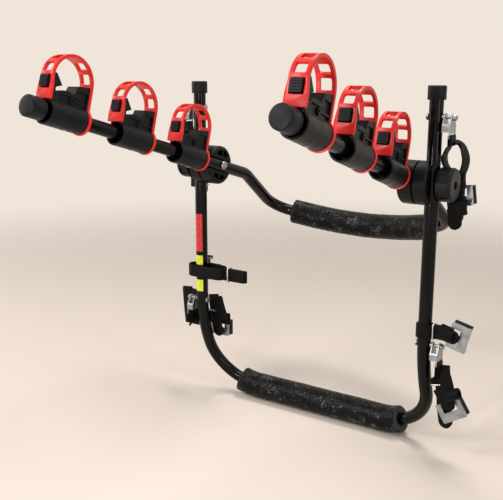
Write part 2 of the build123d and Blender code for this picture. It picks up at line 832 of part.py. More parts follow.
def link_outline(length):
    """Side view of a link's flange below the middle of its head, wider from the shoulder down."""
    Polyline(
        (-link_head_d / 2, 0),
        (-link_depth / 2, -link_shoulder),
        (-link_depth / 2, -length),
        (link_depth / 2, -length),
        (link_depth / 2, -link_shoulder),
        (link_head_d / 2, 0),
        (-link_head_d / 2, 0),
    )


# Links, webbing and hooks
wire_places = {}
for name, place in hook_places.items():
    level, hand = name.split("_")
    side = sides[hand]
    bolted = level in strap_bolt_zs
    strap_x = side * web_x
    if bolted:
        bolt_z = strap_bolt_zs[level]
        bolt_plane = Plane(origin=(side * link_x, upright_y, bolt_z), x_dir=(0, side, 0), z_dir=(side, 0, 0))
        link_bar_z = bolt_z - link_len + link_bar / 2
        link_bar_plane = Plane(origin=(strap_x, upright_y, link_bar_z), x_dir=(1, 0, 0), z_dir=(0, -1, 0))
        with BuildPart() as link:
            with BuildSketch(bolt_plane):
                with BuildLine():
                    link_outline(link_short_len)
                make_face()
                Circle(link_head_d / 2)
            extrude(amount=link_width - link_t)
            with BuildSketch(bolt_plane.offset(link_t)):
                with Locations((side * (link_t + overrun / 2), 0)):
                    Rectangle(link_depth + overrun, (link_len + link_head_d) * 2)
            extrude(amount=link_width - link_t * 2, mode=Mode.SUBTRACT)
            with BuildSketch(bolt_plane.offset(link_width - link_t)):
                with BuildLine():
                    link_outline(link_len)
                make_face()
                Circle(link_head_d / 2)
                with Locations((0, link_bar + link_slot_t / 2 - link_len)):
                    Rectangle(link_slot, link_slot_t, mode=Mode.SUBTRACT)
            extrude(amount=link_t)
            with BuildSketch(bolt_plane):
                Circle(strap_bolt_d / 2 + rod_gap)
            extrude(amount=link_width, mode=Mode.SUBTRACT)
        write(link, f"strap_link_{name}")

    with BuildPart() as webbing:
        # Loop round the hook's bar
        with BuildSketch(in_profile(place)):
            with BuildLine():
                over_bar(short_loop_len if name in ("lower_left", "side_right") else loop_len)
                offset(amount=web_t / 2)
            make_face()
        extrude(amount=web_width / 2, both=True)
        if bolted:
            with BuildSketch(link_bar_plane):
                with BuildLine():
                    over_bar(loop_len)
                    offset(amount=web_t / 2)
                make_face()
            extrude(amount=web_width / 2, both=True)
        if level == "upper":
            with BuildSketch(Plane(origin=(strap_x, upright_y, bolt_z), x_dir=(0, 1, 0), z_dir=(1, 0, 0))):
                with BuildLine():
                    FilletPolyline(
                        (0, -link_len - loop_len / 2),
                        (0, -link_len - loop_len),
                        (upper_back, -upper_bend_drop),
                        (upper_back, -upper_fold_drop),
                        radius=bundle_t / 2,
                    )
                    offset(amount=bundle_t / 2)
                make_face()
            extrude(amount=web_width / 2, both=True)
        if name == "lower_right":
            top_z = link_bar_z - loop_len + bundle_t / 2
            with BuildSketch(Plane(origin=(0, upright_y + lower_back, 0), x_dir=(1, 0, 0), z_dir=(0, -1, 0))):
                with BuildLine():
                    near = place.origin + place.y_dir * (loop_len - bundle_t / 2)
                    Line((strap_x, top_z), (near.X, near.Z))
                    offset(amount=web_width / 2)
                make_face()
            extrude(amount=bundle_t / 2, both=True)
        if name == "lower_left":
            behind = Plane(origin=(-upright_half, upright_y, bolt_z), x_dir=(1, 0, 0), z_dir=(0, -1, 0))
            with BuildSketch(behind.offset(-behind_back)):
                with Locations((-roll_out, -roll_drop)):
                    RectangleRounded(roll_len, roll_width, bundle_round)
                with Locations((-outer_fold_out, -outer_fold_drop)):
                    RectangleRounded(outer_fold_width, outer_fold_len, bundle_round)
                with Locations((inner_fold_in, -inner_fold_drop)):
                    RectangleRounded(web_width, inner_fold_len, bundle_round)
            extrude(amount=bundle_t / 2, both=True)
            with BuildSketch(behind.offset(-join_back)):
                with Locations((upright_half - web_x, -join_drop)):
                    Rectangle(join_width, join_len)
            extrude(amount=join_t / 2, both=True)
        if name == "side_left":
            with BuildSketch(Plane.XY.offset(wind_zs[hand])):
                with Locations((-upright_half + (left_wind_in - left_wind_out) / 2, upright_y)):
                    SlotCenterToCenter(left_wind_in + left_wind_out, (wind_r + wind_t) * 2)
                    SlotCenterToCenter(left_wind_in + left_wind_out, wind_r * 2, mode=Mode.SUBTRACT)
                with Locations((-upright_half + (left_wind_in + left_tail_x) / 2 + wind_r, upright_y)):
                    RectangleRounded(left_tail_x - left_wind_in, tail_t, bundle_round)
            extrude(amount=web_width / 2, both=True)
        if name == "side_right":
            with BuildSketch(Plane.XY.offset(wind_zs[hand])):
                with Locations((upright_half, upright_y)):
                    Circle(wind_r + wind_t)
                    Circle(wind_r, mode=Mode.SUBTRACT)
                with Locations((upright_half + (wind_r + right_tail_x) / 2 + wind_t / 2, upright_y)):
                    RectangleRounded(right_tail_x - wind_r, tail_t, bundle_round)
            extrude(amount=web_width / 2, both=True)
            with BuildSketch(in_profile(place)):
                Rectangle(hook_t + soft_gap * 2, hook_bar + hook_slot_len)
            extrude(amount=hook_width / 2, both=True, mode=Mode.SUBTRACT)
    write(webbing, f"webbing_{name}")

    with BuildPart() as hook:
        with BuildSketch(place):
            with Locations((0, (hook_bar - hook_len) / 2)):
                RectangleRounded(hook_width, hook_len, hook_corner)
            with Locations((0, -(hook_bar + hook_slot_len) / 2)):
                Rectangle(hook_slot_w, hook_slot_len, mode=Mode.SUBTRACT)
        extrude(amount=hook_t / 2, both=True)
        with BuildSketch(place):
            with Locations((0, (hook_bar - hook_len) / 2)):
                with GridLocations(hook_width - hook_t, 0, 2, 1):
                    Rectangle(hook_t, hook_len - hook_corner * 2)
        extrude(amount=-hook_lip)
    write(hook, f"hook_{name}")

    # Where the wire loop that keeps the folded webbing together lies
    if level == "upper":
        wire_plane = Plane(
            origin=(strap_x, upright_y + upper_back, bolt_z - upper_wire_drop),
            x_dir=(1, 0, 0),
            z_dir=(0, 0, 1),
        )
    if name == "lower_left":
        wire_plane = Plane(
            origin=(inner_fold_in - upright_half, upright_y + behind_back, bolt_z - behind_wire_drop),
            x_dir=(1, 0, 0),
            z_dir=(0, 0, 1),
        )
    if name == "lower_right":
        lean = (Vector(near.X, 0, near.Z) - Vector(strap_x, 0, top_z)).normalized()
        wire_plane = Plane(
            origin=(strap_x, upright_y + lower_back, top_z),
            x_dir=(lean.Z, 0, -lean.X),
            z_dir=lean,
        ).offset(lower_wire_drop - link_len - loop_len + bundle_t / 2)
    if level == "side":
        wire_x = left_tail_wire_x if hand == "left" else right_tail_wire_x
        wire_plane = Plane(
            origin=(side * upright_half + wire_x, upright_y, wind_zs[hand]),
            x_dir=(0, 0, 1),
            z_dir=(1, 0, 0),
        )
    wire_places[name] = (wire_plane, tail_t if level == "side" else bundle_t)

# Rubber on the hooks' lips, and the wire loops. The two side straps share a node of each
strap_groups = {name: [name] for name in hook_places if not name.startswith("side")}
strap_groups["side"] = ["side_left", "side_right"]
for group, members in strap_groups.items():
    with BuildPart() as hook_edges:
        for name in members:
            place = hook_places[name]
            with BuildSketch(place.offset(-hook_lip - edge_gap - edge_t)):
                with Locations((0, (hook_bar - hook_len) / 2)):
                    with GridLocations(hook_width - hook_t, 0, 2, 1):
                        Rectangle(hook_t + edge_gap * 2 + edge_t * 2, hook_len - hook_corner * 2)
            extrude(amount=edge_depth)
            with BuildSketch(place.offset(-hook_lip - edge_gap)):
                with Locations((0, (hook_bar - hook_len) / 2)):
                    with GridLocations(hook_width - hook_t, 0, 2, 1):
                        Rectangle(hook_t + edge_gap * 2, hook_len)
            extrude(amount=edge_depth, mode=Mode.SUBTRACT)
    write(hook_edges, f"hook_edges_{group}")

    with BuildPart() as wire_loop:
        for name in members:
            wire_plane, folded_t = wire_places[name]
            half_w = web_width / 2 + wire_gap + wire_d / 2
            half_t = folded_t / 2 + wire_gap + wire_d / 2
            with BuildLine(wire_plane) as wire_path:
                FilletPolyline(
                    (-half_w, -half_t),
                    (half_w, -half_t),
                    (half_w, half_t),
                    (-half_w, half_t),
                    radius=wire_corner,
                    close=True,
                )
            loop = wire_path.wires()[0]
            with BuildSketch(Plane(origin=loop @ 0, z_dir=loop % 0)):
                Circle(wire_d / 2)
            sweep(path=loop)
    write(wire_loop, f"wire_loop_{group}")
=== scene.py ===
import json
from math import atan2, cos, pi, radians, sin, sqrt, tan

import bmesh
import bpy
from mathutils import Matrix, Vector, noise


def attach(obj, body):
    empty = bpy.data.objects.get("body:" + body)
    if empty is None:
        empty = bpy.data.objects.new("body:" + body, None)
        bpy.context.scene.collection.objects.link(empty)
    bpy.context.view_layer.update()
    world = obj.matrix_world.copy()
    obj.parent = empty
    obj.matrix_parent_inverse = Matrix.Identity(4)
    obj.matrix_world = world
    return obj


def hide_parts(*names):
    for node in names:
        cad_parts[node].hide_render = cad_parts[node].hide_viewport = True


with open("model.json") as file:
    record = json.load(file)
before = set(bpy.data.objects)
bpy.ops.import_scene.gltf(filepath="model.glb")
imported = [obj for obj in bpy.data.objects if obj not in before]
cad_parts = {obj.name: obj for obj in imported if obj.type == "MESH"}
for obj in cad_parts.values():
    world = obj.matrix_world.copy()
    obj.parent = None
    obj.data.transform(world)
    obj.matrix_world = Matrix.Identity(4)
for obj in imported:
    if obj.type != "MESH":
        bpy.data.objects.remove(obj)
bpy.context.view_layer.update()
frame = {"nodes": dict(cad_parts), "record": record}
mm = 0.001
xDir, yDir, zDir = Vector((1, 0, 0)), Vector((0, 1, 0)), Vector((0, 0, 1))
print("frame loaded:", len(frame["nodes"]), "nodes")

tube = {"radius": 12.7 * mm, "uprightX": 260 * mm, "uprightY": -65.3 * mm}
armLayout = {
    "hub": Vector((213.3, -65.3, 505.1)) * mm,
    "tilt": radians(16.7),
    "splay": radians(2.8),
    "rearStraight": 99.1 * mm,
    "rearDip": radians(35.5),
    "rearDrop": 160.2 * mm,
    "rearHalf": 217.5 * mm,
    "rearSag": 71.2 * mm,
    "barRadius": 425 * mm,
    "padEnd": 52 * mm,
}


# Colours are written as sRGB hex
def linear(hexCode, alpha=1.0):
    channels = []
    for start in (1, 3, 5):
        value = int(hexCode[start:start + 2], 16) / 255
        channels.append(value / 12.92 if value <= 0.04045 else ((value + 0.055) / 1.055) ** 2.4)
    return (*channels, alpha)


# One node with its settings, socket values and incoming links
def addNode(material, kind, settings=None, values=None, links=None):
    node = material.node_tree.nodes.new(kind)
    for name, value in (settings or {}).items():
        setattr(node, name, value)
    for socket, value in (values or {}).items():
        node.inputs[socket].default_value = value
    for socket, (source, output) in (links or {}).items():
        material.node_tree.links.new(source.outputs[output], node.inputs[socket])
    return node


def startMaterial(name, values):
    material = bpy.data.materials.new(name)
    material.use_nodes = True
    shader = material.node_tree.nodes["Principled BSDF"]
    for socket, value in values.items():
        shader.inputs[socket].default_value = value
    where = addNode(material, "ShaderNodeTexCoord")
    return material, shader, where


def join(material, source, output, shader, socket):
    material.node_tree.links.new(source.outputs[output], shader.inputs[socket])


def paintRamp(material, source, output, stops):
    ramp = addNode(material, "ShaderNodeValToRGB", links={"Fac": (source, output)})
    elements = ramp.color_ramp.elements
    while len(elements) < len(stops):
        elements.new(0.5)
    for element, (place, colour) in zip(elements, stops):
        element.position = place
        element.color = colour
    return ramp


def roughRange(material, shader, source, low, high):
    spread = addNode(
        material, "ShaderNodeMapRange",
        values={"From Min": 0.3, "From Max": 0.7, "To Min": low, "To Max": high},
        links={"Value": (source, "Fac")},
    )
    join(material, spread, "Result", shader, "Roughness")


# Noise in object space
def cloudy(material, where, scale, detail, **values):
    return addNode(material, "ShaderNodeTexNoise", values={"Scale": scale, "Detail": detail, **values},
                   links={"Vector": (where, "Object")})


def cellsOf(material, where, scale):
    return addNode(material, "ShaderNodeTexVoronoi", values={"Scale": scale},
                   links={"Vector": (where, "Object")})


# Bump over a source, on top of another normal where one is given
def bumpOf(material, strength, distance, source, output="Fac", under=None):
    links = {"Height": (source, output)}
    if under:
        links["Normal"] = (under, "Normal")
    return addNode(material, "ShaderNodeBump", values={"Strength": strength, "Distance": distance},
                   links=links)


def hexRamp(material, source, output, stops):
    return paintRamp(material, source, output, [(place, linear(colour)) for place, colour in stops])


# Mild steel tube, phosphated and powder coated gloss black: a faint orange peel, clear reflections
def powderCoat():
    material, shader, where = startMaterial("glossPowderCoatedSteel", {
        "IOR": 1.5, "Specular IOR Level": 0.08, "Coat Weight": 0.2, "Coat Roughness": 0.04,
    })
    colour = hexRamp(material, cloudy(material, where, 9, 5), "Fac", [(0.35, "#030304"), (0.65, "#09090a")])
    join(material, colour, "Color", shader, "Base Color")
    roughRange(material, shader, cloudy(material, where, 38, 6), 0.13, 0.24)
    peel = bumpOf(material, 0.12, 0.06 * mm, cloudy(material, where, 520, 1))
    join(material, peel, "Normal", shader, "Normal")
    return material


# Nitrile foam with its moulded skin, crinkled by handling: dull black, with pale flecks painted into its
# colour as specular glints
def foamSkin():
    material, shader, where = startMaterial("nitrileFoamSkin", {"IOR": 1.5, "Specular IOR Level": 0.16})
    cloud = cloudy(material, where, 45, 8, Roughness=0.65)
    colour = hexRamp(material, cloud, "Fac", [(0.3, "#020203"), (0.55, "#060607"), (0.75, "#0d0d0f")])
    # Pale flecks mixed into the base colour are painted glints: they stand in for specular highlights on the
    # crinkled skin
    glintSpeckle = cloudy(material, where, 330, 3, Roughness=0.7)
    glintPatches = addNode(material, "ShaderNodeMath", settings={"operation": "MULTIPLY"},
                     links={0: (glintSpeckle, "Fac"), 1: (cloud, "Fac")})
    pale = hexRamp(material, glintPatches, "Value", [(0.32, "#000000"), (0.37, "#ffffff")])
    paintedGlints = addNode(material, "ShaderNodeMix", settings={"data_type": "RGBA"}, values={7: linear("#707276")},
                   links={"Factor": (pale, "Color"), 6: (colour, "Color")})
    join(material, paintedGlints, 2, shader, "Base Color")
    creases = cloudy(material, where, 130, 4, Roughness=0.6)
    creases.noise_type = "RIDGED_MULTIFRACTAL"
    roughRange(material, shader, cloud, 0.16, 0.6)
    pores = bumpOf(material, 0.35, 0.2 * mm, cellsOf(material, where, 900), "Distance")
    join(material, bumpOf(material, 1.0, 2.4 * mm, creases, under=pores), "Normal", shader, "Normal")
    return material


# Cut end of the foam: open cells, dusty grey
def foamCut():
    material, shader, where = startMaterial("nitrileFoamCutEnd", {"Roughness": 0.92, "IOR": 1.45})
    cells = cellsOf(material, where, 1300)
    colour = hexRamp(material, cells, "Distance", [(0.0, "#1d1d1f"), (0.6, "#3d3e41")])
    join(material, colour, "Color", shader, "Base Color")
    join(material, bumpOf(material, 0.7, 0.4 * mm, cells, "Distance"), "Normal", shader, "Normal")
    return material


# Injection moulded plastic or rubber: an even colour, a fine spark texture, slightly shinier where touched
def moulded(name, dark, light, rough, grain=1500, edge=0.4 * mm, values=None):
    material, shader, where = startMaterial(name, {"IOR": 1.5, "Specular IOR Level": 0.16, **(values or {})})
    colour = hexRamp(material, cloudy(material, where, 24, 5), "Fac", [(0.32, dark), (0.68, light)])
    join(material, colour, "Color", shader, "Base Color")
    roughRange(material, shader, cloudy(material, where, 60, 4), rough - 0.06, rough + 0.08)
    rounded = addNode(material, "ShaderNodeBevel", values={"Radius": edge})
    spark = bumpOf(material, 0.25, 0.08 * mm, cloudy(material, where, grain, 2), under=rounded)
    join(material, spark, "Normal", shader, "Normal")
    return material


# Polypropylene webbing, plain woven: ribs across it, split by the warp, with a faint sheen
def webbingWeave():
    material, shader, where = startMaterial("polypropyleneWebbing", {
        "IOR": 1.49, "Specular IOR Level": 0.12, "Sheen Weight": 0.03, "Sheen Roughness": 0.4,
    })
    threads = addNode(material, "ShaderNodeUVMap", settings={"uv_map": "weave"})
    waves = []
    for direction, scale, distortion in (("X", 95, 0.6), ("Y", 150, 0.4)):
        waves.append(addNode(material, "ShaderNodeTexWave",
                             settings={"bands_direction": direction, "wave_profile": "SIN"},
                             values={"Scale": scale, "Distortion": distortion, "Detail": 1},
                             links={"Vector": (threads, "UV")}))
    weave = addNode(material, "ShaderNodeMath", settings={"operation": "MULTIPLY"},
                    links={0: (waves[0], "Fac"), 1: (waves[1], "Fac")})
    fuzz = cloudy(material, where, 300, 4)
    tint = addNode(material, "ShaderNodeMath", settings={"operation": "MULTIPLY"},
                   links={0: (weave, "Value"), 1: (fuzz, "Fac")})
    colour = hexRamp(material, tint, "Value", [(0.0, "#040405"), (0.35, "#0b0b0c"), (0.7, "#171719")])
    join(material, colour, "Color", shader, "Base Color")
    roughRange(material, shader, fuzz, 0.42, 0.7)
    join(material, bumpOf(material, 0.8, 0.4 * mm, weave, "Value"), "Normal", shader, "Normal")
    return material


# Pressed and zinc plated steel: pale grey, a fine cross grain and dull patches
def zincPlate(name="zincPlatedSteel", dark="#82888c", light="#a6abae", rough=0.36):
    material, shader, where = startMaterial(name, {"Metallic": 1.0})
    grain = addNode(material, "ShaderNodeMapping", values={"Scale": (40, 40, 900)},
                    links={"Vector": (where, "Object")})
    streak = addNode(material, "ShaderNodeTexNoise", values={"Scale": 3, "Detail": 4},
                     links={"Vector": (grain, "Vector")})
    patch = cloudy(material, where, 70, 5)
    colour = hexRamp(material, patch, "Fac", [(0.3, dark), (0.65, light)])
    join(material, colour, "Color", shader, "Base Color")
    roughRange(material, shader, patch, rough - 0.08, rough + 0.14)
    rounded = addNode(material, "ShaderNodeBevel", values={"Radius": 0.4 * mm})
    join(material, bumpOf(material, 0.15, 0.08 * mm, streak, under=rounded), "Normal", shader, "Normal")
    return material


# Printed vinyl, laminated: an even colour with rubbed edges
def vinyl(name, dark, light):
    material, shader, where = startMaterial(name, {"IOR": 1.5, "Roughness": 0.3})
    rub = cloudy(material, where, 160, 6)
    join(material, hexRamp(material, rub, "Fac", [(0.36, dark), (0.5, light)]), "Color", shader, "Base Color")
    join(material, bumpOf(material, 0.1, 0.1 * mm, rub), "Normal", shader, "Normal")
    return material


finishes = {
    "coat": powderCoat(),
    "foam": foamSkin(),
    "foamCut": foamCut(),
    "webbing": webbingWeave(),
    "zinc": zincPlate(),
    "zincBright": zincPlate("zincPlatedWire", "#b9bec1", "#e4e6e7", 0.24),
    "hub": moulded("glassFilledNylonHub", "#08090a", "#111214", 0.4),
    "knob": moulded("glassFilledNylonKnob", "#0f1013", "#1b1c20", 0.36),
    "cradle": moulded("mouldedNylonCradle", "#0b0d11", "#16181d", 0.36),
    "cap": moulded("mouldedRubberCap", "#0e0e12", "#1a1b20", 0.42),
    "edge": moulded("dippedRubberEdge", "#060607", "#101011", 0.5),
    "strap": moulded("redThermoplasticRubber", "#e01b17", "#f22d26", 0.32, grain=1200, edge=0.8 * mm, values={
        "Specular IOR Level": 0.4, "Subsurface Weight": 0.06, "Subsurface Radius": (0.004, 0.0012, 0.001),
    }),
    "thread": moulded("polyesterThread", "#141416", "#232326", 0.55),
    "labelRed": vinyl("redVinyl", "#b51f22", "#d92c2c"),
    "labelYellow": vinyl("yellowVinyl", "#d3d41f", "#e9ef3c"),
}
print("materials made:", len(finishes))


# The first start of a name that fits gives a solid its finish
finishOf = (
    ("hub", "hub"), ("knob_insert", "zinc"), ("knob_washer", "zinc"), ("knob", "knob"),
    ("cradle_screws", "zinc"), ("cradle", "cradle"), ("wire_loop", "zincBright"), ("pivot_bolt", "zinc"),
    ("strap_", "zinc"), ("hook_edges", "edge"), ("hook_", "zinc"), ("lower_frame", "coat"),
    ("arm_frame", "coat"),
)
for node, solid in frame["nodes"].items():
    for start, finishName in finishOf:
        if node.startswith(start):
            solid.data.materials.clear()
            solid.data.materials.append(finishes[finishName])
            break
print("CAD nodes dressed")


def bodyOf(node):
    for body, nodes in frame["record"]["behaviour"]["bodies"].items():
        if node in nodes:
            return body


def finish(name, mesh, finishNames, body, nodes=()):
    piece = bpy.data.objects.new(name, mesh)
    bpy.context.scene.collection.objects.link(piece)
    for finishName in finishNames:
        mesh.materials.append(finishes[finishName])
    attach(piece, body)
    if nodes:
        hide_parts(*nodes)
    return piece


def smoothByAngle(mesh, angle):
    work = bmesh.new()
    work.from_mesh(mesh)
    for edge in work.edges:
        edge.smooth = not (edge.is_manifold and edge.calc_face_angle(0) > angle)
    for face in work.faces:
        face.smooth = True
    work.to_mesh(mesh)
    work.free()


rubber = {
    "rounding": {"strap": 0.7 * mm, "cap": 0.8 * mm, "edge": 0.5 * mm},
    "weld": 0.005 * mm, "flat": 0.02, "sharp": radians(40), "segments": 2, "shade": 0.7,
}


# Soft copy of a moulded rubber node: the same form with every edge rounded over
def softCopy(node, finishName):
    name = "soft_" + node
    mesh = frame["nodes"][node].data.copy()
    mesh.materials.clear()
    work = bmesh.new()
    work.from_mesh(mesh)
    bmesh.ops.remove_doubles(work, verts=work.verts, dist=rubber["weld"])
    bmesh.ops.dissolve_limit(work, angle_limit=rubber["flat"], verts=work.verts, edges=work.edges)
    work.to_mesh(mesh)
    work.free()
    temp = bpy.data.objects.new(name + "Work", mesh)
    bpy.context.scene.collection.objects.link(temp)
    bevel = temp.modifiers.new("rounding", "BEVEL")
    bevel.width = rubber["rounding"][finishName]
    bevel.segments = rubber["segments"]
    bevel.limit_method = "ANGLE"
    bevel.angle_limit = rubber["sharp"]
    bevel.use_clamp_overlap = True
    shape = bpy.data.meshes.new_from_object(temp.evaluated_get(bpy.context.evaluated_depsgraph_get()))
    bpy.data.objects.remove(temp)
    shape.materials.clear()
    smoothByAngle(shape, rubber["shade"])
    finish(name, shape, [finishName], bodyOf(node), [node])


# Points along a run of straight lines with rounded corners
def roundedPath(points, radii, step):
    out = [points[0].copy()]
    for before, corner, after, radius in zip(points, points[1:], points[2:], radii):
        back = (before - corner).normalized()
        ahead = (after - corner).normalized()
        half = back.angle(ahead) / 2
        reach = radius / tan(half)
        middle = corner + (back + ahead).normalized() * (radius / sin(half))
        start = corner + back * reach - middle
        end = corner + ahead * reach - middle
        turn = start.angle(end)
        axis = start.cross(end).normalized()
        count = max(3, int(turn * radius / step))
        for k in range(count + 1):
            out.append(middle + Matrix.Rotation(turn * k / count, 3, axis) @ start)
    out.append(points[-1].copy())
    return out


def evenPath(points, step):
    lengths = [0.0]
    for a, b in zip(points, points[1:]):
        lengths.append(lengths[-1] + (b - a).length)
    count = max(2, round(lengths[-1] / step))
    out = []
    k = 0
    for n in range(count + 1):
        want = lengths[-1] * n / count
        while k < len(points) - 2 and lengths[k + 1] < want:
            k += 1
        share = (want - lengths[k]) / max(lengths[k + 1] - lengths[k], 1e-9)
        out.append(points[k].lerp(points[k + 1], share))
    return out


foam = {
    "radius": 28 * mm, "bore": 13.6 * mm, "step": 2.2 * mm, "around": 96, "lip": 1.6 * mm, "wall": 9 * mm,
    "crinkle": 0.9 * mm, "sunk": 0.4 * mm, "highest": 0.35 * mm, "lowest": -1.8 * mm,
    "broad": {"scale": 24, "share": 0.45}, "folds": {"scale": 85, "share": 0.35, "middle": 1.1},
    "fine": {"scale": 300, "share": 0.18}, "shade": 1.0,
}


# Crinkled foam sleeve along a path, its cut ends rounded over and open round the tube
def foamPad(name, path, node, seed):
    broad, folds, fine = foam["broad"], foam["folds"], foam["fine"]
    stations = evenPath(path, foam["step"])
    tangents = []
    for k in range(len(stations)):
        a = stations[max(k - 1, 0)]
        b = stations[min(k + 1, len(stations) - 1)]
        tangents.append((b - a).normalized())
    side = zDir.cross(tangents[0]).normalized()
    rings = []
    total = len(stations) - 1
    for k, (centre, tangent) in enumerate(zip(stations, tangents)):
        side = (side - tangent * side.dot(tangent)).normalized()
        over = tangent.cross(side)
        ring = []
        fromEnd = min(k, total - k) * foam["step"]
        for n in range(foam["around"]):
            angle = 2 * pi * n / foam["around"]
            out = side * cos(angle) + over * sin(angle)
            place = centre + out * foam["radius"]
            rough = broad["share"] * noise.noise(place * broad["scale"] + xDir * seed)
            ridges = noise.ridged_multi_fractal(place * folds["scale"] + yDir * seed, 0.9, 2.1, 3, 1.0, 2.0)
            rough += folds["share"] * (ridges - folds["middle"])
            rough += fine["share"] * noise.noise(place * fine["scale"])
            rise = max(min(foam["crinkle"] * rough - foam["sunk"], foam["highest"]), foam["lowest"])
            drop = 0.0
            if fromEnd < foam["lip"]:
                drop = foam["lip"] * (1 - (1 - (1 - fromEnd / foam["lip"]) ** 2) ** 0.5)
            ring.append(centre + out * (foam["radius"] + rise - drop))
        rings.append(ring)
    work = bmesh.new()
    grid = [[work.verts.new(p) for p in ring] for ring in rings]
    for low, high in zip(grid, grid[1:]):
        for n in range(foam["around"]):
            m = (n + 1) % foam["around"]
            work.faces.new((low[n], low[m], high[m], high[n]))
    for ring, centre, tangent, flip in ((grid[0], stations[0], tangents[0], True),
                                        (grid[-1], stations[-1], tangents[-1], False)):
        inward = tangent if flip else -tangent
        inner = []
        deep = []
        for vert in ring:
            out = (vert.co - centre).normalized()
            inner.append(work.verts.new(centre + out * foam["bore"]))
            deep.append(work.verts.new(centre + out * (foam["bore"] - foam["sunk"]) + inward * foam["wall"]))
        for n in range(foam["around"]):
            m = (n + 1) % foam["around"]
            quads = [(ring[n], ring[m], inner[m], inner[n]), (inner[n], inner[m], deep[m], deep[n])]
            for quad in quads:
                face = work.faces.new(quad[::-1] if flip else quad)
                face.material_index = 1
        cap = work.faces.new(deep if not flip else deep[::-1])
        cap.material_index = 1
    bmesh.ops.recalc_face_normals(work, faces=work.faces)
    mesh = bpy.data.meshes.new(name)
    work.to_mesh(mesh)
    work.free()
    smoothByAngle(mesh, foam["shade"])
    piece = finish(name, mesh, ["foam", "foamCut"], bodyOf(node), [node])


lowerPath = {
    "half": 199 * mm, "barHalf": 153 * mm, "corner": 107 * mm, "lean": atan2(65.3, 154.7), "parts": 9,
}
legUp = Vector((0, -sin(lowerPath["lean"]), cos(lowerPath["lean"])))
endTurn = atan2(lowerPath["half"] - lowerPath["barHalf"], lowerPath["corner"])


# Point of the lower bar's route where its corner has turned by a share
def cornerPoint(side, share):
    turn = endTurn * share
    along = lowerPath["barHalf"] + lowerPath["corner"] * sin(turn)
    return Vector((side * along, 0, 0)) + legUp * lowerPath["corner"] * (1 - cos(turn))


shares = [k / lowerPath["parts"] for k in range(lowerPath["parts"] + 1)]
route = [cornerPoint(-1, share) for share in reversed(shares)] + [cornerPoint(1, share) for share in shares]
foamPad("lowerFoam", route, "lower_pad", 3.1)


def armAxis(side):
    tilt, splay = armLayout["tilt"], armLayout["splay"]
    return Vector((side * sin(splay), -cos(tilt) * cos(splay), sin(tilt) * cos(splay)))


def hubCentre(side):
    return Vector((side * armLayout["hub"].x, armLayout["hub"].y, armLayout["hub"].z))


def rearCorner(side):
    bend = hubCentre(side) - armAxis(side) * armLayout["rearStraight"]
    dip = armLayout["rearDip"]
    return Vector((side * armLayout["rearHalf"], bend.y + armLayout["rearDrop"] * cos(dip),
                   bend.z - armLayout["rearDrop"] * sin(dip)))


leftCorner, rightCorner = rearCorner(-1), rearCorner(1)
dip, sag = armLayout["rearDip"], armLayout["rearSag"]
apex = Vector((0, leftCorner.y + sag * cos(dip), leftCorner.z - sag * sin(dip)))
padEnds = []
for corner in (leftCorner, rightCorner):
    padEnds.append(corner + (apex - corner).normalized() * armLayout["padEnd"])
upperRoute = roundedPath([padEnds[0], apex, padEnds[1]], [armLayout["barRadius"]], 4 * mm)
foamPad("upperFoam", upperRoute, "upper_pad", 7.7)
print("foam pads made")

# Ladder straps, caps and hook rubber
for node in list(frame["nodes"]):
    if node.startswith("ladder_strap"):
        softCopy(node, "strap")
    elif node.endswith("_caps"):
        softCopy(node, "cap")
    elif node.startswith("hook_edges"):
        softCopy(node, "edge")
print("rubber pieces made")

web = {
    "width": 26 * mm, "thickness": 1.5 * mm, "pitch": 1.82 * mm, "round": 0.5 * mm, "step": 2.4 * mm,
    "ripple": 0.12 * mm, "rippleScale": 120, "tip": 0.25, "bulge": 0.55, "twist": 1.35,
}


# Woven band along a path: across gives the direction of its width at each point
def band(work, weave, path, across, roundEnd=False):
    half = web["width"] / 2
    thick = web["thickness"] / 2
    r = web["round"]
    lowerEdge = [(-half, -thick + r), (-half + r, -thick), (-half / 3, -thick), (half / 3, -thick),
                 (half - r, -thick), (half, -thick + r)]
    outline = lowerEdge + [(a, -b) for a, b in reversed(lowerEdge)]
    rings = []
    along = 0.0
    lengths = []
    total = sum((b - a).length for a, b in zip(path, path[1:]))
    for k, centre in enumerate(path):
        if k:
            along += (centre - path[k - 1]).length
        lengths.append(along)
        tangent = (path[min(k + 1, len(path) - 1)] - path[max(k - 1, 0)]).normalized()
        wide = across[k] if isinstance(across, list) else across
        wide = (wide - tangent * wide.dot(tangent)).normalized()
        normal = wide.cross(tangent)
        ripple = web["ripple"] * noise.noise(centre * web["rippleScale"])
        near = min(1.0, (total - along) / half) if roundEnd else 1.0
        narrow = max(web["tip"], sqrt(max(0.0, 1 - (1 - near) ** 2)))
        rings.append([work.verts.new(centre + wide * a * narrow + normal * (b + ripple)) for a, b in outline])
    count = len(outline)
    for k, (low, high) in enumerate(zip(rings, rings[1:])):
        for n in range(count):
            m = (n + 1) % count
            face = work.faces.new((low[n], high[n], high[m], low[m]))
            face.smooth = True
            for loop, row, column in zip(face.loops, (k, k + 1, k + 1, k), (n, n, m, m)):
                loop[weave].uv = (lengths[row], outline[column][0])
    work.faces.new(rings[0])
    work.faces.new(rings[-1][::-1])


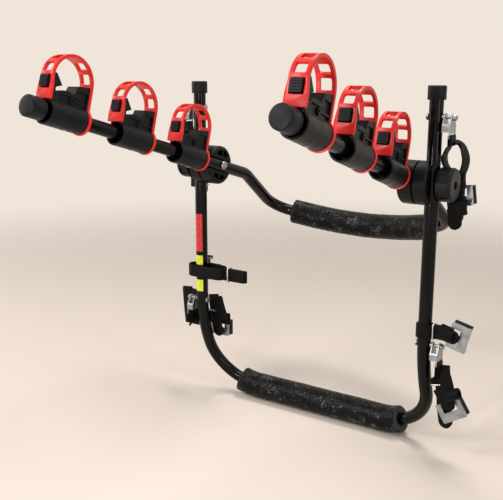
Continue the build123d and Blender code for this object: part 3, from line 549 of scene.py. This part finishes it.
# Webbing folded back and forth over a middle path, layer on layer from front to back, with round turns.
# The slack says how far a layer may stop short of the path's ends.
def foldedPath(middle, layers, slack, seed):
    middle = evenPath(middle, web["step"])
    out = []
    count = len(middle) - 1
    for layer in range(layers):
        shift = (layer - (layers - 1) / 2) * web["pitch"]
        start = int(abs(noise.noise(Vector((seed, layer * 1.7, 0.3)))) * slack / web["step"] * 2)
        end = int(abs(noise.noise(Vector((layer * 2.3, seed, 0.7)))) * slack / web["step"] * 2)
        order = list(range(start, count + 1 - end))
        if layer % 2:
            order.reverse()
        line = []
        for k in order:
            tangent = (middle[min(k + 1, count)] - middle[max(k - 1, 0)]).normalized()
            away = (yDir - tangent * yDir.dot(tangent)).normalized()
            line.append((middle[k] + away * shift, tangent, away))
        if out:
            last, here = out[-1], line[0][0]
            heading = line[0][1] if layer % 2 else -line[0][1]
            # a layer that starts further in is met by a straight run first
            reach = (last - here).dot(heading)
            if reach > 0:
                here = here + heading * reach
                line.insert(0, (here, line[0][1], line[0][2]))
            else:
                last = last - heading * reach
                out.append(last)
            for n in range(1, 6):
                angle = pi * n / 6
                bulge = heading * sin(angle) * web["pitch"] * web["bulge"]
                out.append(last.lerp(here, (1 - cos(angle)) / 2) + bulge)
        out += [point for point, _, _ in line]
    return out


# Layer that runs round a bar: half the bar's size, clearance and half the webbing
loopFit = {"reach": 2.45 * mm, "top": 3.7 * mm, "step": 1.2 * mm}


def barLoop(centre, up, away, length):
    reach, top = loopFit["reach"], loopFit["top"]
    points = [centre - away * reach - up * length, centre - away * reach + up * (top - reach)]
    for n in range(1, 8):
        angle = pi * n / 8
        points.append(centre - away * reach * cos(angle) + up * (top - reach + reach * sin(angle)))
    points += [centre + away * reach + up * (top - reach), centre + away * reach - up * length]
    return evenPath(points, loopFit["step"])


def webbingPiece(name, node, bands):
    work = bmesh.new()
    weave = work.loops.layers.uv.new("weave")
    for strip in bands:
        band(work, weave, *strip)
    bmesh.ops.recalc_face_normals(work, faces=work.faces)
    mesh = bpy.data.meshes.new(name)
    work.to_mesh(mesh)
    work.free()
    finish(name, mesh, ["webbing"], bodyOf(node), [node])


strap = {
    "barX": 291 * mm, "linkLen": 36 * mm, "linkBar": 4 * mm, "loop": 30 * mm, "shortLoop": 20 * mm,
    "bolt": {"upper": 623.3 * mm, "lower": 202.5 * mm}, "linkLoop": {"upper": 15 * mm, "lower": 24 * mm},
    "hook": {
        "upper_left": {"place": (-291, -13.5, 495.3), "turn": -8},
        "upper_right": {"place": (291, -13.5, 495.3), "turn": 8},
        "lower_left": {"place": (-243, -24.9, 147), "turn": 0},
        "lower_right": {"place": (310, -62.3, 93.5), "turn": 32},
        "side_left": {"place": (-255, -45, 269), "turn": -90},
        "side_right": {"place": (309, -65.3, 230), "turn": 76},
    },
}
# How each strap's spare webbing lies: middle lines and slack in mm, the upper ones for the right side
upperFold = {
    "inner": [(288.6, -65.3, 576), (282, -59, 566), (274, -48, 553), (273, -39, 539), (281, -36, 523),
              (290, -36, 506)],
    "outer": [(293.4, -65.3, 576), (299, -57, 577), (305, -45, 568), (308, -36, 551), (305, -30, 533),
              (297, -28, 512)],
    "outerLean": 0.25,
    "stack": {"line": [(291, -22.3, 524), (291, -22.3, 480), (291, -22, 436)],
              "layers": 7, "slack": 5, "seed": 2.1},
    "tongue": {"line": [(291, -33, 470), (291, -31, 452), (291, -27, 434), (290, -25, 417)], "layers": 3},
    "wrap": [(281, -35.5, 464), (296, -37, 461), (308, -35, 460), (313, -30, 462), (309, -26, 464)],
}
lowerRightFold = {
    "lead": [(288.6, -65.3, 147), (289, -66, 138), (292, -68.5, 126)],
    "stack": {"top": (296, -60.3, 163), "aboveHook": 14, "layers": 7, "slack": 6, "seed": 5.3},
    "front": [(300, -71, 160), (307, -72.5, 145), (312, -73, 130), (314, -72, 118)],
    "coil": {"centre": (325, -78, 119), "axis": (1, 0, 0.42), "outer": 10.5, "turns": 2.4},
    "slotTongue": {"line": [(303, -73, 122), (309, -72, 108), (315, -71, 94), (318, -70, 82)], "layers": 2},
    "backTongue": {"line": [(300, -57, 98), (301, -56, 80), (304, -55, 60), (308, -54, 38)], "layers": 4},
}
lowerLeftFold = {
    "lead": [(-288.6, -65.3, 147), (-290, -62, 143), (-296, -52, 146), (-304, -41, 152)],
    "stacks": [
        {"line": [(-324, -37.5, 214), (-321, -37.5, 170), (-317, -37.5, 131)],
         "layers": 3, "slack": 4, "seed": 1.3},
        {"line": [(-311, -33, 211), (-315, -33, 170), (-321, -33, 134)],
         "layers": 2, "slack": 4, "seed": 6.1},
        {"line": [(-299, -38.5, 212), (-298, -38.5, 170), (-297, -38.5, 130)],
         "layers": 2, "slack": 4, "seed": 4.6},
        {"line": [(-250, -37.5, 207), (-246, -37.5, 175), (-240, -37.5, 152)],
         "layers": 3, "slack": 4, "seed": 3.7},
        {"line": [(-236, -43, 207), (-228, -43.5, 182), (-220, -42, 158)],
         "layers": 2, "slack": 4, "seed": 2.9},
    ],
    "roll": {"line": [(-331, -30, 150), (-270, -30.5, 152), (-208, -31, 155)],
             "layers": 3, "slack": 5, "seed": 8.2},
    "tongue": {"line": [(-247, -36, 158), (-242, -36, 135), (-236, -35, 112)], "layers": 2},
    "tongueWide": (1, 0, 0.28),
}
sideRightFold = {
    "coil": {"centre": (306, -74.5, 231), "axis": (1, 0, -0.12), "outer": 10.5, "turns": 2.2},
    "tongue": {"line": [(298, -74, 232), (312, -74.5, 229), (329, -74.5, 226)], "layers": 2},
}


def hookFrame(name):
    setting = strap["hook"][name]
    turn = radians(setting["turn"])
    wide = Vector((cos(turn), 0, sin(turn)))
    return Vector(setting["place"]) * mm, wide, Vector((-sin(turn), 0, cos(turn)))


# Smooth line through a few points, given in mm
def easyLine(points, step=2 * mm):
    points = [Vector(p) * mm for p in points]
    ends = [points[0] * 2 - points[1], *points, points[-1] * 2 - points[-2]]
    out = []
    for a, b, c, d in zip(ends, ends[1:], ends[2:], ends[3:]):
        for n in range(12):
            t = n / 12
            out.append(0.5 * (2 * b + (c - a) * t + (2 * a - 5 * b + 4 * c - d) * t * t
                              + (3 * b - a - 3 * c + d) * t ** 3))
    out.append(points[-1])
    return evenPath(out, step)


coilLay = {"around": 24, "looseness": 1.05, "step": 1.3 * mm}


# Coiled end of a strap: its axis lies along the width of the webbing
def coil(centre, axis, outer, turns):
    centre = Vector(centre) * mm
    axis = Vector(axis).normalized()
    first = axis.cross(yDir).normalized()
    second = axis.cross(first)
    points = []
    for n in range(int(turns * coilLay["around"])):
        angle = -2 * pi * n / coilLay["around"]
        radius = outer * mm - web["pitch"] * coilLay["looseness"] * n / coilLay["around"]
        points.append(centre + (first * cos(angle) + second * sin(angle)) * radius)
    return evenPath(points, coilLay["step"]), axis


def mirrored(points, side):
    return [(side * x, y, z) for x, y, z in points]


# Flat tongue with a rounded end, a few layers deep from front to back
def tongue(setting, wide, side=1):
    path = easyLine(mirrored(setting["line"], side))
    layers = []
    for n in range(setting["layers"]):
        layers.append(([p + yDir * (n * web["pitch"]) for p in path], wide, True))
    return layers


def stacked(setting, middle, wide, side=1):
    return foldedPath(middle, setting["layers"], setting["slack"] * mm, side * setting["seed"]), wide


# Single layer that leaves the link edge on and twists until it lies flat
def twisted(points, first, last):
    path = easyLine(points)
    count = len(path) - 1
    return path, [first.lerp(last, min(1.0, web["twist"] * k / count)) for k in range(count + 1)]


def upperBands(side):
    fold = upperFold
    return [
        twisted(mirrored(fold["inner"], side), yDir, yDir),
        twisted(mirrored(fold["outer"], side), yDir, Vector((side * fold["outerLean"], 1, 0))),
        stacked(fold["stack"], easyLine(mirrored(fold["stack"]["line"], side)), xDir, side),
        *tongue(fold["tongue"], xDir, side),
        (easyLine(mirrored(fold["wrap"], side), 1.6 * mm), zDir),
    ]


def lowerRightBands(centre, wide, up):
    fold = lowerRightFold
    stack = fold["stack"]
    middle = [Vector(stack["top"]) * mm, centre + up * stack["aboveHook"] * mm]
    across = (middle[1] - middle[0]).normalized().cross(yDir)
    return [
        twisted(fold["lead"], yDir, xDir),
        stacked(stack, middle, across),
        (easyLine(fold["front"]), across),
        coil(**fold["coil"]),
        *tongue(fold["slotTongue"], wide),
        *tongue(fold["backTongue"], xDir),
    ]


def lowerLeftBands():
    fold = lowerLeftFold
    bands = [twisted(fold["lead"], yDir, zDir)]
    for stack in fold["stacks"]:
        middle = easyLine(stack["line"])
        bands.append(stacked(stack, middle, (middle[-1] - middle[0]).normalized().cross(yDir)))
    bands.append(stacked(fold["roll"], easyLine(fold["roll"]["line"]), zDir))
    return bands + tongue(fold["tongue"], Vector(fold["tongueWide"]))


for hand, side in (("left", -1), ("right", 1)):
    for level in ("upper", "lower"):
        name = f"{level}_{hand}"
        centre, wide, up = hookFrame(name)
        bar = Vector((side * strap["barX"], tube["uprightY"],
                      strap["bolt"][level] - strap["linkLen"] + strap["linkBar"] / 2))
        hang = strap["shortLoop"] if name == "lower_left" else strap["loop"]
        bands = [
            (barLoop(bar, zDir, xDir, strap["linkLoop"][level]), yDir),
            (barLoop(centre, -up, yDir, hang), wide),
        ]
        if level == "upper":
            bands += upperBands(side)
        elif hand == "right":
            bands += lowerRightBands(centre, wide, up)
        else:
            bands += lowerLeftBands()
        webbingPiece("web_" + name, "webbing_" + name, bands)


# Bands wound round the uprights, and their folded tails
wound = {
    "radius": 14 * mm, "lap": 1.9 * mm, "laps": 2, "step": 2 * mm, "tailGap": 16.1 * mm,
    "left": {"z": 269 * mm, "rise": 0.8 * mm, "out": 16 * mm, "in": 46 * mm, "loop": strap["loop"],
             "tail": {"end": 115.1 * mm, "layers": 6, "slack": 6, "seed": 9.4}},
    "right": {"z": 230 * mm, "rise": -0.8 * mm, "out": 0.0, "in": 0.0, "loop": strap["shortLoop"],
              "tail": {"end": 44 * mm, "layers": 6, "slack": 5, "seed": 4.4}},
}


def oval(centreX, halfRun, radius, z):
    points = []
    for n in range(49):
        angle = 2 * pi * n / 48
        x = cos(angle) * radius + (halfRun if cos(angle) > 0 else -halfRun)
        points.append(Vector((centreX + x, tube["uprightY"] + sin(angle) * radius, z)))
    return evenPath(points, wound["step"])


for hand, side in (("left", -1), ("right", 1)):
    way = wound[hand]
    tubeX = side * tube["uprightX"]
    middleX = tubeX + (way["in"] - way["out"]) / 2
    halfRun = (way["in"] + way["out"]) / 2
    bands = []
    for lap in range(wound["laps"]):
        radius = wound["radius"] + lap * wound["lap"]
        bands.append((oval(middleX, halfRun, radius, way["z"] + lap * way["rise"]), zDir))
    tail = []
    for x in (way["in"] + wound["tailGap"], way["tail"]["end"]):
        tail.append(Vector((tubeX + x, tube["uprightY"], way["z"])))
    bands.append(stacked(way["tail"], tail, zDir))
    hookCentre, hookWide, hookUp = hookFrame("side_" + hand)
    bands.append((barLoop(hookCentre, -hookUp, yDir, way["loop"]), hookWide))
    if hand == "right":
        bands += [coil(**sideRightFold["coil"]), *tongue(sideRightFold["tongue"], zDir)]
    webbingPiece("web_side_" + hand, "webbing_side_" + hand, bands)
print("webbing made")


# Sewn bar tack: rows of short threads, laid out by a node group with named inputs
def tackLayout():
    group = bpy.data.node_groups.new("threadRows", "GeometryNodeTree")
    inputs = (
        ("Length", "NodeSocketFloat", 0.02), ("Width", "NodeSocketFloat", 0.01),
        ("Stitches", "NodeSocketInt", 9), ("Rows", "NodeSocketInt", 4),
        ("Stitch Length", "NodeSocketFloat", 0.002), ("Thread", "NodeSocketFloat", 0.0003),
        ("Material", "NodeSocketMaterial", None),
    )
    for name, kind, value in inputs:
        socket = group.interface.new_socket(name, in_out="INPUT", socket_type=kind)
        if value is not None:
            socket.default_value = value
    group.interface.new_socket("Geometry", in_out="OUTPUT", socket_type="NodeSocketGeometry")
    nodes, wires = group.nodes, group.links
    given = nodes.new("NodeGroupInput")
    grid = nodes.new("GeometryNodeMeshGrid")
    wires.new(given.outputs["Length"], grid.inputs["Size X"])
    wires.new(given.outputs["Width"], grid.inputs["Size Y"])
    wires.new(given.outputs["Stitches"], grid.inputs["Vertices X"])
    wires.new(given.outputs["Rows"], grid.inputs["Vertices Y"])
    thread = nodes.new("GeometryNodeMeshCylinder")
    thread.inputs["Vertices"].default_value = 6
    wires.new(given.outputs["Thread"], thread.inputs["Radius"])
    wires.new(given.outputs["Stitch Length"], thread.inputs["Depth"])
    lay = nodes.new("GeometryNodeTransform")
    lay.inputs["Rotation"].default_value = (0, pi / 2, 0)
    wires.new(thread.outputs["Mesh"], lay.inputs["Geometry"])
    place = nodes.new("GeometryNodeInstanceOnPoints")
    wires.new(grid.outputs["Mesh"], place.inputs["Points"])
    wires.new(lay.outputs["Geometry"], place.inputs["Instance"])
    real = nodes.new("GeometryNodeRealizeInstances")
    wires.new(place.outputs["Instances"], real.inputs["Geometry"])
    paint = nodes.new("GeometryNodeSetMaterial")
    wires.new(real.outputs["Geometry"], paint.inputs["Geometry"])
    wires.new(given.outputs["Material"], paint.inputs["Material"])
    wires.new(paint.outputs["Geometry"], nodes.new("NodeGroupOutput").inputs["Geometry"])
    return group


threadRows = tackLayout()
tackSize = {
    "Length": 18 * mm, "Width": 9 * mm, "Stitches": 8, "Rows": 5,
    "Stitch Length": 1.9 * mm, "Thread": 0.26 * mm,
}


def barTack(name, place, along, outward, body):
    holder = bpy.data.objects.new(name + "Work", bpy.data.meshes.new(name + "Work"))
    bpy.context.scene.collection.objects.link(holder)
    rows = holder.modifiers.new("rows", "NODES")
    rows.node_group = threadRows
    for item in threadRows.interface.items_tree:
        if item.in_out == "INPUT":
            rows[item.identifier] = finishes["thread"] if item.name == "Material" else tackSize[item.name]
    mesh = bpy.data.meshes.new_from_object(holder.evaluated_get(bpy.context.evaluated_depsgraph_get()))
    bpy.data.objects.remove(holder)
    along = along.normalized()
    side = outward.cross(along).normalized()
    turned = Matrix((along, side, outward)).transposed().to_4x4()
    mesh.transform(Matrix.Translation(Vector(place) * mm) @ turned)
    mesh.materials.clear()
    finish(name, mesh, ["thread"], body)


tack = {"linkX": 294.3, "upperZ": 580.3, "lowerZ": 153.5, "aboveHook": 14, "behind": 3.3}
for name in ("upper_left", "upper_right", "lower_left", "lower_right"):
    side = -1 if name.endswith("left") else 1
    z = tack["upperZ"] if name.startswith("upper") else tack["lowerZ"]
    spot = (side * tack["linkX"], tube["uprightY"] / mm, z)
    barTack("tack_link_" + name, spot, yDir, xDir * side, "strap_" + name)
for name in ("upper_left", "upper_right", "lower_right"):
    centre, wide, up = hookFrame(name)
    spot = centre / mm + up * tack["aboveHook"] + yDir * tack["behind"]
    barTack("tack_hook_" + name, spot, wide, yDir, "strap_" + name)
print("bar tacks made")


# Bare vinyl bands on the left upright
vinylLay = {"over": 0.12 * mm, "from": radians(-160), "to": radians(-45), "around": 24}
vinylBands = {
    "redBand": {"low": 314 * mm, "high": 397 * mm, "finishName": "labelRed"},
    "yellowBandHigh": {"low": 284 * mm, "high": 305 * mm, "finishName": "labelYellow"},
    "yellowBandLow": {"low": 224 * mm, "high": 250 * mm, "finishName": "labelYellow"},
}


def vinylBand(name, low, high, finishName):
    work = bmesh.new()
    rows = []
    radius = tube["radius"] + vinylLay["over"]
    for z in (low, (low + high) / 2, high):
        row = []
        for n in range(vinylLay["around"] + 1):
            angle = vinylLay["from"] + (vinylLay["to"] - vinylLay["from"]) * n / vinylLay["around"]
            x = cos(angle) * radius - tube["uprightX"]
            row.append(work.verts.new((x, tube["uprightY"] + sin(angle) * radius, z)))
        rows.append(row)
    for lowRow, highRow in zip(rows, rows[1:]):
        for n in range(vinylLay["around"]):
            face = work.faces.new((lowRow[n], lowRow[n + 1], highRow[n + 1], highRow[n]))
            face.smooth = True
    mesh = bpy.data.meshes.new(name)
    work.to_mesh(mesh)
    work.free()
    finish(name, mesh, [finishName], "lower")


for name, setting in vinylBands.items():
    vinylBand(name, **setting)
print("vinyl bands made")

# Pale floor that fades into the backdrop
stage = {
    "floor": "#f5e6d8", "floorRadius": 6.0, "floorZ": -28.6 * mm, "fadeStart": 0.9, "fadeEnd": 3.0,
    "cream": "#f0e5d9", "sky": (1, 0.985, 0.965, 1), "skyStrength": 0.22,
}
floorMesh = bpy.data.meshes.new("floor")
work = bmesh.new()
bmesh.ops.create_circle(work, cap_ends=True, segments=96, radius=stage["floorRadius"])
bmesh.ops.translate(work, verts=work.verts, vec=(0, 0, stage["floorZ"]))
work.to_mesh(floorMesh)
work.free()
floor = bpy.data.objects.new("floor", floorMesh)
bpy.context.scene.collection.objects.link(floor)
floorPaint, floorShader, floorWhere = startMaterial("paleFloor", {
    "Roughness": 0.9, "Base Color": linear(stage["floor"]),
})
spread = addNode(floorPaint, "ShaderNodeVectorMath", settings={"operation": "LENGTH"},
                 links={"Vector": (floorWhere, "Object")})
fade = addNode(floorPaint, "ShaderNodeMapRange", settings={"interpolation_type": "SMOOTHSTEP"},
               values={"From Min": stage["fadeStart"], "From Max": stage["fadeEnd"]},
               links={"Value": (spread, "Value")})
clear = addNode(floorPaint, "ShaderNodeBsdfTransparent")
blendFloor = addNode(floorPaint, "ShaderNodeMixShader",
                     links={"Fac": (fade, "Result"), 1: (floorShader, "BSDF"), 2: (clear, "BSDF")})
join(floorPaint, blendFloor, "Shader", floorPaint.node_tree.nodes["Material Output"], "Surface")
floorMesh.materials.append(floorPaint)

# The sky lights the object, and the camera and reflections see the cream backdrop
world = bpy.data.worlds.new("studio")
bpy.context.scene.world = world
world.use_nodes = True
sky = world.node_tree.nodes["Background"]
sky.inputs["Color"].default_value = stage["sky"]
sky.inputs["Strength"].default_value = stage["skyStrength"]
backdrop = addNode(world, "ShaderNodeBackground", values={"Color": linear(stage["cream"])})
rays = addNode(world, "ShaderNodeLightPath")
seen = addNode(world, "ShaderNodeMath", settings={"operation": "MAXIMUM"},
               links={0: (rays, "Is Camera Ray"), 1: (rays, "Is Glossy Ray")})
seen = addNode(world, "ShaderNodeMath", settings={"operation": "MAXIMUM"},
               links={0: (seen, "Value"), 1: (rays, "Is Transmission Ray")})
pick = addNode(world, "ShaderNodeMixShader",
               links={"Fac": (seen, "Value"), 1: (sky, "Background"), 2: (backdrop, "Background")})
join(world, pick, "Shader", world.node_tree.nodes["World Output"], "Surface")


def softbox(name, place, target, size, watts):
    light = bpy.data.lights.new(name, "AREA")
    light.shape = "RECTANGLE"
    light.size, light.size_y = size
    light.energy = watts
    lamp = bpy.data.objects.new(name, light)
    lamp.location = place
    lamp.visible_camera = False
    lamp.rotation_euler = (Vector(target) - Vector(place)).to_track_quat("-Z", "Y").to_euler()
    bpy.context.scene.collection.objects.link(lamp)


lamps = {
    "keyBox": {"place": (-1.2, -2.2, 2.2), "target": (0, -0.1, 0.35), "size": (1.1, 0.8), "watts": 26},
    "fillBox": {"place": (2.4, -0.9, 1.1), "target": (0, -0.1, 0.35), "size": (0.3, 1.8), "watts": 13},
    "topBox": {"place": (0.2, 0.3, 2.4), "target": (0, -0.1, 0.3), "size": (1.6, 0.5), "watts": 26},
    "frontStrip": {"place": (0.12, -1.25, 0.55), "target": (0.1, -0.1, 0.42), "size": (0.035, 0.6),
                   "watts": 4},
    "leftStrip": {"place": (-2.2, -0.6, 0.95), "target": (0, -0.1, 0.4), "size": (0.2, 1.8), "watts": 13},
}
for name, setting in lamps.items():
    softbox(name, **setting)
print("stage and light made")

# The photograph's camera
view = {
    "place": (0.77844, -1.429774, 0.720599), "yaw": 0.587, "pitch": 0.233,
    "focal": 800.981, "width": 503, "sensor": 36,
}
camera = bpy.data.cameras.new("camera")
camera.sensor_fit = "HORIZONTAL"
camera.sensor_width = view["sensor"]
camera.lens = view["focal"] / view["width"] * view["sensor"]
cameraObject = bpy.data.objects.new("camera", camera)
cameraObject.location = view["place"]
cameraObject.rotation_euler = (pi / 2 - view["pitch"], 0, view["yaw"])
bpy.context.scene.collection.objects.link(cameraObject)
bpy.context.scene.camera = cameraObject
bpy.context.scene.view_settings.view_transform = "Standard"
